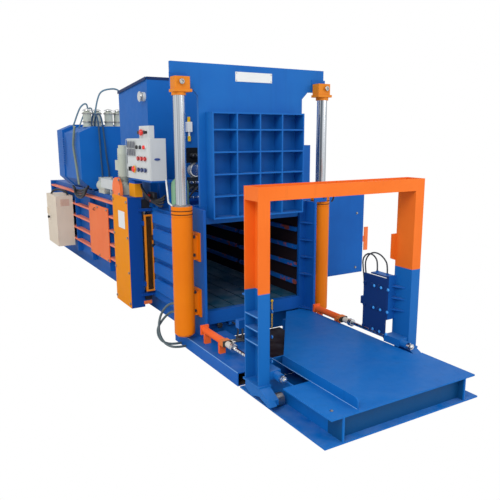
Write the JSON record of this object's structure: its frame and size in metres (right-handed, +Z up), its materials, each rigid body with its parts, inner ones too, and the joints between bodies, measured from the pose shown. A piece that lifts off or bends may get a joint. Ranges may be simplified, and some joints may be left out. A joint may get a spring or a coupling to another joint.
{
  "type": "recycling baler",
  "caption": "Horizontal baler: ram press with feed hopper, lifting ribbed gate on upright cylinders, wire tying unit, rear oil tank and a sliding portal that pulls bales on to a low deck.",
  "frame": {"origin": "on the floor, on the centre line of the press chamber, in the front plane of the gate frame", "axes": "+X across the machine to the right as seen from the discharge end, +Y back along the machine towards the oil tank, +Z up"},
  "size_m": [3.2747, 8.337, 2.653],
  "materials": {
    "blue_paint": "satin",
    "dark_steel": "matte",
    "portal_orange": "satin",
    "cylinder_orange": "satin",
    "chrome": "polished",
    "bare_steel": "satin",
    "press_blue": "satin",
    "tank_blue": "satin",
    "pale_grey": "satin",
    "beige": "satin",
    "black_plastic": "matte",
    "red_plastic": "gloss",
    "green_plastic": "gloss",
    "white_plastic": "gloss",
    "hose_rubber": "matte"
  },
  "bodies": {
    "frame": {"base_frame": "blue_paint", "chamber_wall_right": "blue_paint", "chamber_wall_left": "blue_paint", "chamber_roof": "blue_paint", "rear_roof": "blue_paint", "gate_frame": "blue_paint", "side_beams": "blue_paint", "feed_hopper": "blue_paint", "deck_plate": "blue_paint", "platform_frame": "blue_paint", "needle_housing": "blue_paint", "tie_housing": "blue_paint", "chamber_floor": "dark_steel", "valve_group": "dark_steel", "twister_bearings": "dark_steel", "side_cover": "portal_orange", "lift_cylinders": "cylinder_orange", "puller_cylinders": "cylinder_orange", "wire_feeder": "cylinder_orange", "chain_guard": "cylinder_orange", "press_cylinder": "press_blue", "oil_tank": "tank_blue", "pump_units": "pale_grey", "tie_motor": "pale_grey", "junction_box": "pale_grey", "control_box": "pale_grey", "hopper_sensor": "pale_grey", "cabinet": "beige", "lift_hose_a": "hose_rubber", "lift_hose_b": "hose_rubber", "lift_hose_c": "hose_rubber", "puller_hose_a": "hose_rubber", "puller_hose_b": "hose_rubber", "tank_hose_a": "hose_rubber", "tank_hose_b": "hose_rubber"},
    "gate": {"gate": "blue_paint", "gate_brackets": "cylinder_orange", "lift_rods": "chrome"},
    "ram": {"ram_head": "dark_steel", "press_rod": "chrome"},
    "puller": {"puller_frame": "portal_orange", "puller_rods": "chrome", "bale_plates": "blue_paint", "plate_hose_a": "hose_rubber", "plate_hose_b": "hose_rubber"},
    "puller_wheels": {"puller_wheels": "bare_steel"},
    "needles": {"needle_carriage": "bare_steel"},
    "twister": {"twister_shaft": "bare_steel"},
    "mesh_guard": {"mesh_guard": "cylinder_orange"},
    "cabinet_door": {"cabinet_door": "beige"},
    "control_door": {"control_door": "pale_grey"},
    "selector": {"selector_switch": "black_plastic"},
    "stop_main": {"stop_main": "red_plastic"},
    "stop_top": {"stop_top": "red_plastic"},
    "button_1": {"button_1": "green_plastic"},
    "button_2": {"button_2": "green_plastic"},
    "button_3": {"button_3": "green_plastic"},
    "button_4": {"button_4": "white_plastic"},
    "button_5": {"button_5": "white_plastic"},
    "button_6": {"button_6": "white_plastic"}
  },
  "joints": [
    {"name": "gate_slide", "type": "slide", "parent": "frame", "child": "gate", "axis": [0, 0, -1], "range_m": [0, 0.84]},
    {"name": "ram_slide", "type": "slide", "parent": "frame", "child": "ram", "axis": [0, -1, 0], "range_m": [0, 1.13]},
    {"name": "puller_slide", "type": "slide", "parent": "frame", "child": "puller", "axis": [0, 1, 0], "range_m": [0, 0.35]},
    {"name": "wheel_spin", "type": "hinge", "parent": "puller", "child": "puller_wheels", "pos_m": [0, -1.44, 0.0623], "axis": [1, 0, 0], "continuous": true},
    {"name": "needle_slide", "type": "slide", "parent": "frame", "child": "needles", "axis": [-1, 0, 0], "range_m": [0, 1.34]},
    {"name": "twister_spin", "type": "hinge", "parent": "frame", "child": "twister", "pos_m": [-0.655, 1.32, 0.7], "axis": [0, 0, 1], "continuous": true},
    {"name": "guard_hinge", "type": "hinge", "parent": "frame", "child": "mesh_guard", "pos_m": [-0.7073, 1.215, 0.72], "axis": [0, 0, -1], "range_deg": [0, 90]},
    {"name": "cabinet_hinge", "type": "hinge", "parent": "frame", "child": "cabinet_door", "pos_m": [-0.9273, 4.58, 0.685], "axis": [0, 0, 1], "range_deg": [0, 120]},
    {"name": "control_hinge", "type": "hinge", "parent": "frame", "child": "control_door", "pos_m": [-0.8193, 1.325, 1.78], "axis": [0, 0, -1], "range_deg": [0, 110]},
    {"name": "selector_turn", "type": "hinge", "parent": "control_door", "child": "selector", "pos_m": [-0.83, 1.205, 1.672], "axis": [1, 0, 0], "range_deg": [-45, 45]},
    {"name": "stop_main_press", "type": "slide", "parent": "control_door", "child": "stop_main", "axis": [1, 0, 0], "range_m": [0, 0.006]},
    {"name": "stop_top_press", "type": "slide", "parent": "frame", "child": "stop_top", "axis": [1, 0, 0], "range_m": [0, 0.006]},
    {"name": "button_1_press", "type": "slide", "parent": "control_door", "child": "button_1", "axis": [1, 0, 0], "range_m": [0, 0.006]},
    {"name": "button_2_press", "type": "slide", "parent": "control_door", "child": "button_2", "axis": [1, 0, 0], "range_m": [0, 0.006]},
    {"name": "button_3_press", "type": "slide", "parent": "control_door", "child": "button_3", "axis": [1, 0, 0], "range_m": [0, 0.006]},
    {"name": "button_4_press", "type": "slide", "parent": "control_door", "child": "button_4", "axis": [1, 0, 0], "range_m": [0, 0.006]},
    {"name": "button_5_press", "type": "slide", "parent": "control_door", "child": "button_5", "axis": [1, 0, 0], "range_m": [0, 0.006]},
    {"name": "button_6_press", "type": "slide", "parent": "control_door", "child": "button_6", "axis": [1, 0, 0], "range_m": [0, 0.006]}
  ]
}
